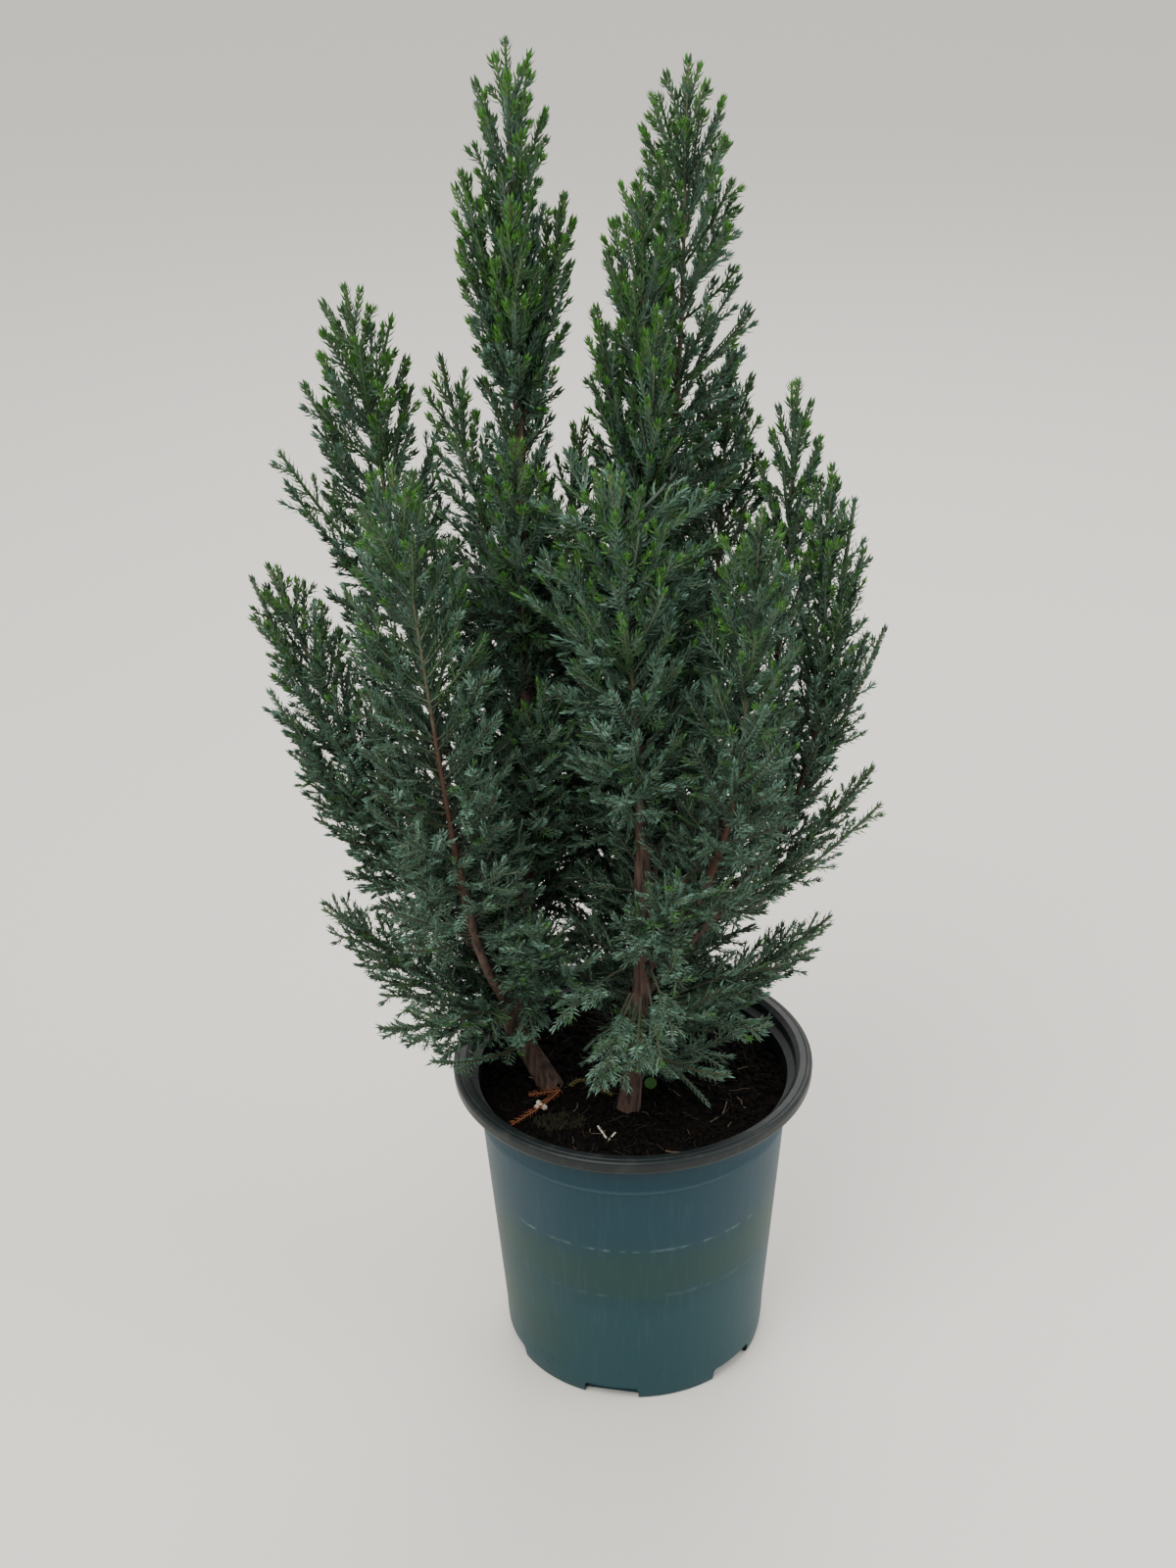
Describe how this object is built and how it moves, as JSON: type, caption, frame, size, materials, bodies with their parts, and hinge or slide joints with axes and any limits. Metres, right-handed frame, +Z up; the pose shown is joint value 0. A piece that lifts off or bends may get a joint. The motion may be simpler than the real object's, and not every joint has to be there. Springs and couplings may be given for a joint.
{
  "type": "potted dwarf false cypress",
  "caption": "Young bushy dwarf false cypress with upright spires of fine blue-green needles on leaning stems, in a tapered nursery pot with a rolled rim and drain pockets",
  "frame": {"origin": "middle of the pot's flat underside", "axes": "+Z up along the height of the plant; the front faces -Y; +X is to the right seen from the front"},
  "size_m": [0.1993, 0.1367, 0.4473],
  "materials": {
    "pot": "satin",
    "soil": "matte",
    "bark": "matte",
    "foliage": "matte"
  },
  "bodies": {
    "root": {"pot": "pot", "soil": "soil", "trunk_left": "bark", "trunk_right": "bark", "bough_back": "bark", "bough_back_left": "bark", "bough_back_right": "bark", "bough_front": "bark", "bough_front_left": "bark", "bough_front_right": "bark", "bough_left": "bark", "bough_rear_left": "bark", "bough_rear_right": "bark", "bough_right": "bark", "bough_right_inner": "bark", "bough_right_outer": "bark", "spire_back": "foliage", "spire_back_left": "foliage", "spire_back_right": "foliage", "spire_front": "foliage", "spire_front_left": "foliage", "spire_front_right": "foliage", "spire_left": "foliage", "spire_rear_left": "foliage", "spire_rear_right": "foliage", "spire_right": "foliage", "spire_right_inner": "foliage", "spire_right_outer": "foliage", "spire_top_left": "foliage", "spire_top_right": "foliage", "spray_front_between": "foliage", "spray_front_inner": "foliage", "spray_high_front": "foliage", "spray_high_left": "foliage", "spray_high_rear": "foliage", "spray_inner_left": "foliage", "spray_inner_rear": "foliage", "spray_low_between": "foliage", "spray_low_front": "foliage", "spray_low_left": "foliage", "spray_low_left_front": "foliage", "spray_low_left_rear": "foliage", "spray_low_left_rim": "foliage", "spray_low_middle_left": "foliage", "spray_low_rear_left": "foliage", "spray_low_rear_right": "foliage", "spray_low_right": "foliage", "spray_low_right_front": "foliage", "spray_low_right_inner": "foliage", "spray_low_right_rim": "foliage", "spray_middle_front": "foliage", "spray_middle_left": "foliage", "spray_middle_right": "foliage", "spray_side_left": "foliage", "spray_side_rear_right": "foliage", "spray_side_right": "foliage", "spray_upper_front": "foliage", "spray_upper_left": "foliage", "spray_upper_right": "foliage", "spray_upper_side_right": "foliage"}
  },
  "joints": []
}
